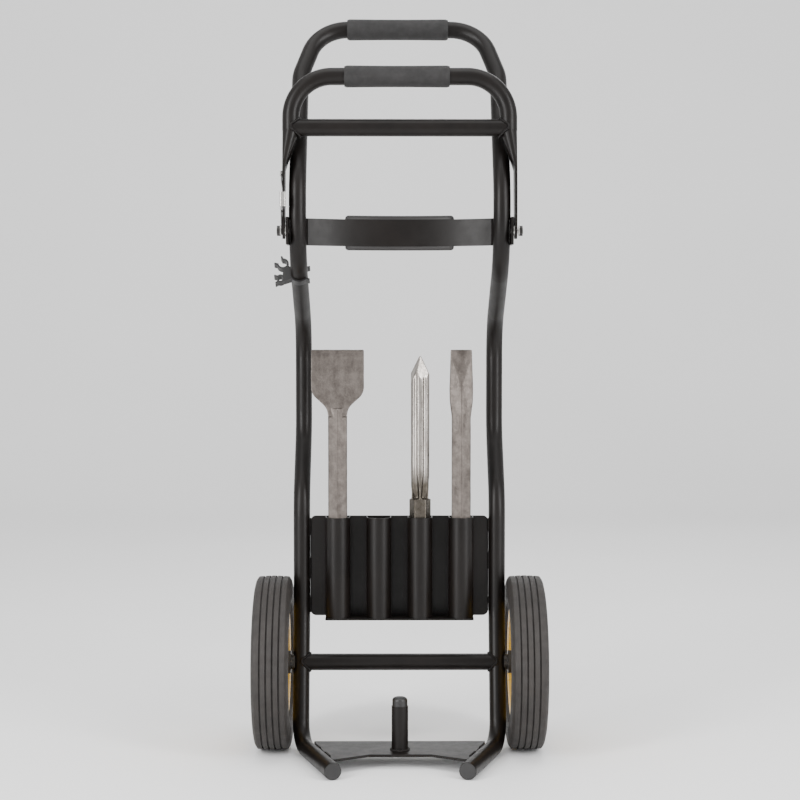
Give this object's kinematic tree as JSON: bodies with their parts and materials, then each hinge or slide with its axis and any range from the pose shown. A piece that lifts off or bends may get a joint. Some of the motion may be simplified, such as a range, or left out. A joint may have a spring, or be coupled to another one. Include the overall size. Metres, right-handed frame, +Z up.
{
  "type": "hammer truck",
  "caption": "Two-wheel trolley for a demolition hammer, with a bent-tube frame, a folding front bail, a nose plate with a locating post and a pocketed tool holder carrying hex steels.",
  "frame": {"origin": "on the floor, in the middle of the footprint between wheels and feet", "axes": "+Z up along the rails, +X to the right seen from the loading side, -Y towards the loading side with the nose plate"},
  "size_m": [0.4372, 0.3338, 1.114],
  "materials": {
    "powder_coat": "satin black powder coat with a fine orange peel",
    "grip_foam": "matte closed-cell foam sleeve",
    "zinc_plate": "bright zinc plate",
    "black_zinc": "black zinc",
    "black_plastic": "moulded, semi-matte",
    "pad_rubber": "matte moulded rubber",
    "tyre_rubber": "matte ribbed tread",
    "yellow_rim": "gloss yellow paint",
    "bush_nylon": "natural nylon",
    "forged_steel": "as-forged, shot-blasted",
    "bright_steel": "rolled flutes bright, hexagon darker"
  },
  "bodies": {
    "frame": {"main_frame": "powder_coat", "rear_grip": "grip_foam", "axle_tube": "powder_coat", "axle": "zinc_plate", "axle_spacers": "black_zinc", "axle_washers": "zinc_plate", "axle_caps": "black_plastic", "base_plate": "powder_coat", "hammer_post": "powder_coat", "post_cap": "black_plastic", "foot_plugs": "black_plastic", "holder_back": "powder_coat", "holder_front": "powder_coat", "holder_floor": "powder_coat", "back_strap": "powder_coat", "strap_pad": "pad_rubber", "pivot_studs": "zinc_plate", "pivot_washers": "zinc_plate", "pivot_nuts": "black_zinc", "cable_clip": "black_plastic"},
    "bail": {"bail_tube": "powder_coat", "bail_cross_tube": "powder_coat", "bail_grip": "grip_foam", "lanyard_cable": "black_plastic", "lanyard_ferrule": "zinc_plate", "lanyard_rivet": "zinc_plate"},
    "wheel_left": {"tyre_left": "tyre_rubber", "rim_left": "yellow_rim", "hub_left": "black_plastic", "bushings_left": "bush_nylon"},
    "wheel_right": {"tyre_right": "tyre_rubber", "rim_right": "yellow_rim", "hub_right": "black_plastic", "bushings_right": "bush_nylon"},
    "scaling_chisel": {"scaling_chisel": "forged_steel"},
    "bull_point": {"bull_point": "bright_steel"},
    "narrow_chisel": {"narrow_chisel": "forged_steel"}
  },
  "joints": [
    {"name": "bail_fold", "type": "hinge", "parent": "frame", "child": "bail", "pos_m": [0, -0.05975, 0.783], "axis": [1, 0, 0], "range_deg": [0, 180]},
    {"name": "wheel_left_spin", "type": "hinge", "parent": "frame", "child": "wheel_left", "pos_m": [-0.19, 0.0354, 0.1315], "axis": [1, 0, 0], "continuous": true},
    {"name": "wheel_right_spin", "type": "hinge", "parent": "frame", "child": "wheel_right", "pos_m": [0.19, 0.0354, 0.1315], "axis": [1, 0, 0], "continuous": true},
    {"name": "scaling_chisel_lift", "type": "slide", "parent": "frame", "child": "scaling_chisel", "axis": [0, 0, 1], "range_m": [0, 0.17]},
    {"name": "bull_point_lift", "type": "slide", "parent": "frame", "child": "bull_point", "axis": [0, 0, 1], "range_m": [0, 0.17]},
    {"name": "narrow_chisel_lift", "type": "slide", "parent": "frame", "child": "narrow_chisel", "axis": [0, 0, 1], "range_m": [0, 0.17]}
  ]
}
